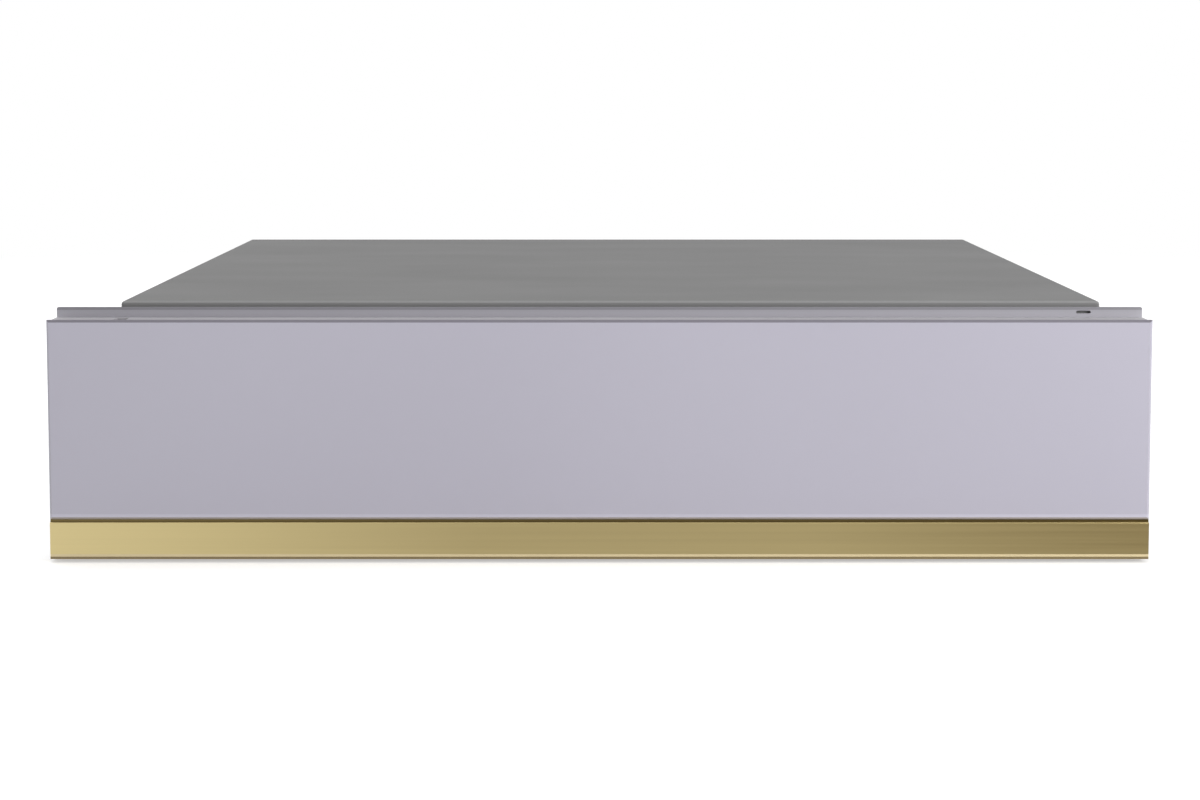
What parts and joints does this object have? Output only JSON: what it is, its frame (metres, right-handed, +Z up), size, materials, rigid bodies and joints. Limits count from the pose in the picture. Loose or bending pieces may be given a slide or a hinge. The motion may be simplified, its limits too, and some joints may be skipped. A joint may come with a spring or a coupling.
{
  "type": "warming drawer",
  "caption": "Built-in warming drawer with a flush glass front, a gold metal strip, and a tray on ball slides in a grey sheet-metal casing with a hot-air fan behind.",
  "frame": {"origin": "under the middle of the whole object's box, on the surface it stands on", "axes": "+X to the right across the front, +Y to the back, +Z up"},
  "size_m": [0.595, 0.545, 0.14],
  "materials": {
    "front_glass": "smooth, back-painted lilac grey",
    "gold_anodised": "brushed and anodised, pale gold",
    "front_sheet": "satin grey coat",
    "stainless": "fine brushed",
    "frame_coat": "satin grey powder coat",
    "galvanised": "matt zinc-coated sheet",
    "zinc_rail": "bright zinc plate",
    "bearing_steel": "polished",
    "silicone": "matt",
    "black_plastic": "fine grain",
    "grey_plastic": "fine grain",
    "red_lens": "clear red",
    "adhesive": "matt sealant",
    "insulation": "mineral wool",
    "element_steel": "oxidised tube",
    "motor_steel": "laminated, dark",
    "winding": "taped copper winding",
    "circuit": "circuit board and its parts"
  },
  "bodies": {
    "housing": {"front_frame": "frame_coat", "left_side_panel": "galvanised", "right_side_panel": "galvanised", "casing_floor": "galvanised", "feet": "black_plastic", "top_cover": "galvanised", "cavity_roof": "stainless", "insulation_mat": "insulation", "rear_panel": "galvanised", "casing_screws": "zinc_rail", "fixed_rails": "zinc_rail", "rail_rivets": "zinc_rail", "air_baffle": "stainless", "fan_chamber": "galvanised", "heating_element": "element_steel", "motor_stack": "motor_steel", "motor_coil": "winding", "bearing_bridges": "zinc_rail", "thermal_cutout": "grey_plastic", "cable_gland": "black_plastic", "terminal_block": "grey_plastic", "control_board": "circuit", "latch_bodies": "black_plastic", "left_latch_spring": "bearing_steel", "right_latch_spring": "bearing_steel", "drawer_sensor": "black_plastic"},
    "drawer": {"front_glass": "front_glass", "glass_bond": "adhesive", "trim_strip": "gold_anodised", "front_carrier": "front_sheet", "front_lining": "stainless", "drawer_screws": "zinc_rail", "drawer_rails": "zinc_rail", "tray_brackets": "zinc_rail", "tray_shell": "stainless", "tray_front_wall": "stainless", "tray_divider": "stainless", "tray_rear_wall": "stainless", "anti_slip_mat": "silicone", "latch_strikers": "zinc_rail", "sensor_magnet": "grey_plastic", "control_fascia": "black_plastic", "control_box": "black_plastic", "thermostat": "grey_plastic", "switch_body": "black_plastic", "indicator_lens": "red_lens"},
    "left_slide": {"left_middle_rail": "zinc_rail"},
    "right_slide": {"right_middle_rail": "zinc_rail"},
    "left_outer_cage": {"left_outer_cage": "bearing_steel"},
    "right_outer_cage": {"right_outer_cage": "bearing_steel"},
    "left_inner_cage": {"left_inner_cage": "bearing_steel"},
    "right_inner_cage": {"right_inner_cage": "bearing_steel"},
    "knob": {"temperature_knob": "grey_plastic", "thermostat_shaft": "zinc_rail"},
    "rocker": {"power_rocker": "grey_plastic"},
    "fan_rotor": {"fan_impeller": "stainless", "fan_shaft": "zinc_rail", "motor_rotor": "motor_steel"},
    "left_plunger": {"left_latch_plunger": "grey_plastic"},
    "right_plunger": {"right_latch_plunger": "grey_plastic"}
  },
  "joints": [
    {"name": "drawer_slide", "type": "slide", "parent": "housing", "child": "drawer", "axis": [0, -1, 0], "range_m": [0, 0.4]},
    {"name": "left_slide_run", "type": "slide", "parent": "housing", "child": "left_slide", "axis": [0, -1, 0], "range_m": [0, 0.2]},
    {"name": "left_outer_cage_run", "type": "slide", "parent": "housing", "child": "left_outer_cage", "axis": [0, -1, 0], "range_m": [0, 0.1]},
    {"name": "left_inner_cage_run", "type": "slide", "parent": "housing", "child": "left_inner_cage", "axis": [0, -1, 0], "range_m": [0, 0.3]},
    {"name": "right_slide_run", "type": "slide", "parent": "housing", "child": "right_slide", "axis": [0, -1, 0], "range_m": [0, 0.2]},
    {"name": "right_outer_cage_run", "type": "slide", "parent": "housing", "child": "right_outer_cage", "axis": [0, -1, 0], "range_m": [0, 0.1]},
    {"name": "right_inner_cage_run", "type": "slide", "parent": "housing", "child": "right_inner_cage", "axis": [0, -1, 0], "range_m": [0, 0.3]},
    {"name": "knob_turn", "type": "hinge", "parent": "drawer", "child": "knob", "pos_m": [0.1301, -0.2305, 0.113], "axis": [0, 0, -1], "range_deg": [0, 270]},
    {"name": "rocker_tilt", "type": "hinge", "parent": "drawer", "child": "rocker", "pos_m": [0.1781, -0.2305, 0.109], "axis": [0, -1, 0], "range_deg": [0, 14]},
    {"name": "fan_spin", "type": "hinge", "parent": "housing", "child": "fan_rotor", "pos_m": [0.006, 0.2, 0.06655], "axis": [0, 1, 0], "continuous": true},
    {"name": "left_latch_push", "type": "slide", "parent": "housing", "child": "left_plunger", "axis": [0, 1, 0], "range_m": [0, 0.003], "stiffness_N_per_m": 400, "springref_m": -0.004, "deforming": ["left_latch_spring"]},
    {"name": "right_latch_push", "type": "slide", "parent": "housing", "child": "right_plunger", "axis": [0, 1, 0], "range_m": [0, 0.003], "stiffness_N_per_m": 400, "springref_m": -0.004, "deforming": ["right_latch_spring"]}
  ],
  "couplings": [
    {"joint": "left_slide_run", "follows": "drawer_slide", "ratio": 0.5},
    {"joint": "left_outer_cage_run", "follows": "drawer_slide", "ratio": 0.25},
    {"joint": "left_inner_cage_run", "follows": "drawer_slide", "ratio": 0.75},
    {"joint": "right_slide_run", "follows": "drawer_slide", "ratio": 0.5},
    {"joint": "right_outer_cage_run", "follows": "drawer_slide", "ratio": 0.25},
    {"joint": "right_inner_cage_run", "follows": "drawer_slide", "ratio": 0.75}
  ]
}
